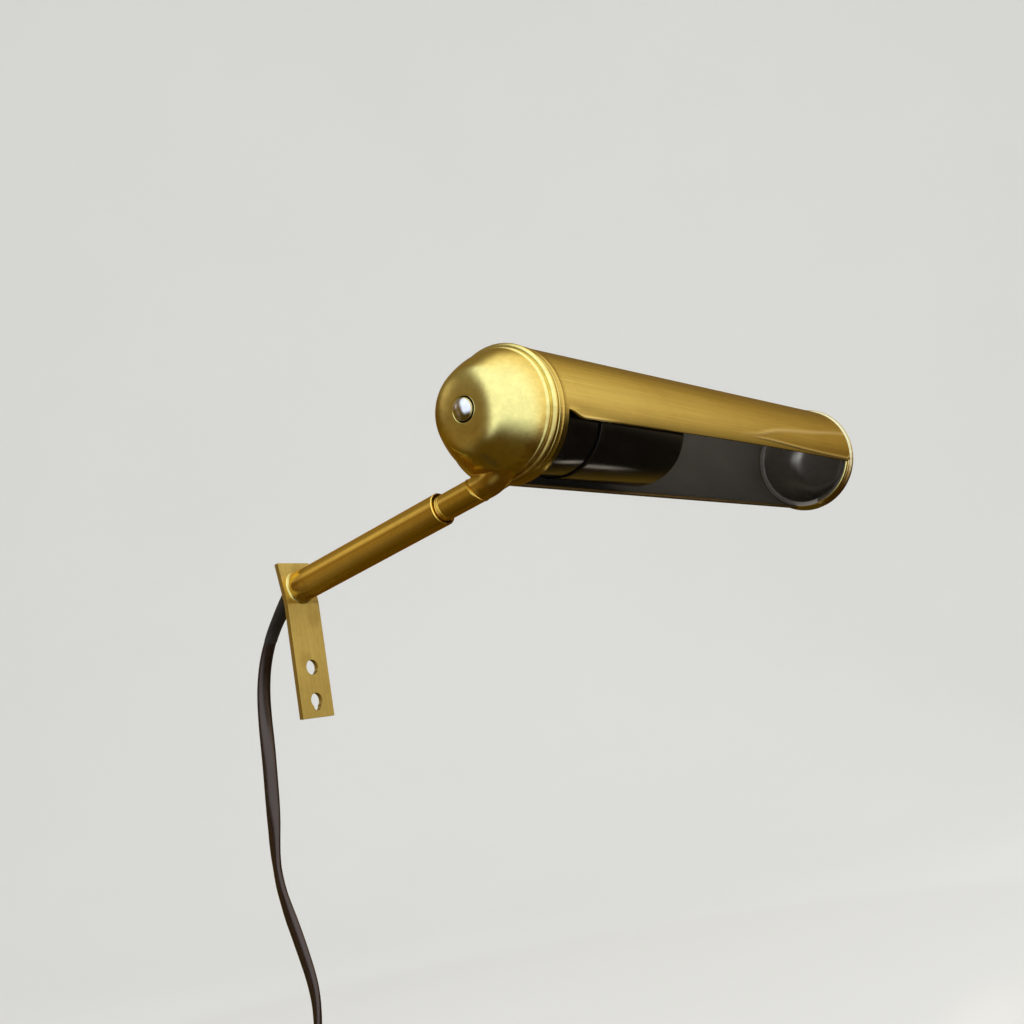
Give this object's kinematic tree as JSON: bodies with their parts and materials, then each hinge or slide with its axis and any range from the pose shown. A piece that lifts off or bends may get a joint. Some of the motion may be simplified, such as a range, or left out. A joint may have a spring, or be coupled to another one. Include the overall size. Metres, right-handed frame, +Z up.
{
  "type": "piano lamp",
  "caption": "Tubular brass piano lamp: screw-on plate, telescoping swivel arm, domed cap with push switch, turning tube shade with a long window, lampholder and mains cord.",
  "frame": {"origin": "centre of the mounting plate's round fixing hole, on the plate's back face", "axes": "+X along the shade, from the near cap towards the far cap; -Y out of the plate's front along the arm; +Z up"},
  "size_m": [0.3005, 0.1739, 0.4052],
  "materials": {
    "satin_brass": "satin, lengthwise brushed, lacquered",
    "polished_brass": "polished, slightly tarnished",
    "plate_brass": "dull brushed, worn",
    "shade_seal_brass": "dull, unpolished",
    "solder": "dull grey solder line",
    "chrome": "bright, lightly scratched",
    "spring_steel": "bright wire",
    "holder_black": "glossy moulded, dusty",
    "insulator": "matte moulded insulator",
    "cord_black": "soft dark brown-black flex, slight sheen",
    "plug_black": "moulded, slight sheen",
    "tie_black": "matte band"
  },
  "bodies": {
    "bracket": {"mounting_plate": "plate_brass", "arm_outer_tube": "satin_brass", "foot_solder_ring": "solder", "arm_guide_bush": "shade_seal_brass", "arm_lead": "cord_black", "cord_bushing": "plug_black", "mains_cord": "cord_black", "cord_coil": "cord_black", "cord_tail": "cord_black", "cord_tie": "tie_black", "plug_body": "plug_black", "plug_pins": "chrome"},
    "sleeve": {"friction_sleeve": "shade_seal_brass"},
    "head": {"arm_inner_tube": "polished_brass", "sleeve_collars": "shade_seal_brass", "neck_ring": "polished_brass", "near_end_cap": "polished_brass", "switch_body": "plug_black", "switch_spacer": "insulator", "switch_leads": "cord_black", "holder_bar": "shade_seal_brass", "threaded_nipple": "shade_seal_brass", "nipple_nut": "shade_seal_brass", "holder_rear_cap": "holder_black", "holder_skirt": "holder_black", "holder_insert": "insulator", "screw_shell": "shade_seal_brass", "centre_contact": "shade_seal_brass", "terminal_screws": "shade_seal_brass"},
    "button": {"switch_button": "chrome", "switch_spring": "spring_steel"},
    "shade": {"shade_tube": "satin_brass", "window_hems": "satin_brass", "shade_snap_ring": "spring_steel", "far_end_cap": "polished_brass"}
  },
  "joints": [
    {"name": "arm_slide", "type": "slide", "parent": "bracket", "child": "sleeve", "axis": [0, -0.9871, 0.1599], "range_m": [-0.01, 0.036]},
    {"name": "arm_swivel", "type": "hinge", "parent": "sleeve", "child": "head", "pos_m": [0, -0.001, 0.0321], "axis": [0, -0.9871, 0.1599], "range_deg": [-90, 90]},
    {"name": "shade_turn", "type": "hinge", "parent": "head", "child": "shade", "pos_m": [0, -0.1112, 0.07245], "axis": [1, 0, 0], "range_deg": [-110, 110]},
    {"name": "switch_press", "type": "slide", "parent": "head", "child": "button", "axis": [1, 0, 0], "range_m": [0, 0.002], "stiffness_N_per_m": 600, "springref_m": -0.001}
  ]
}
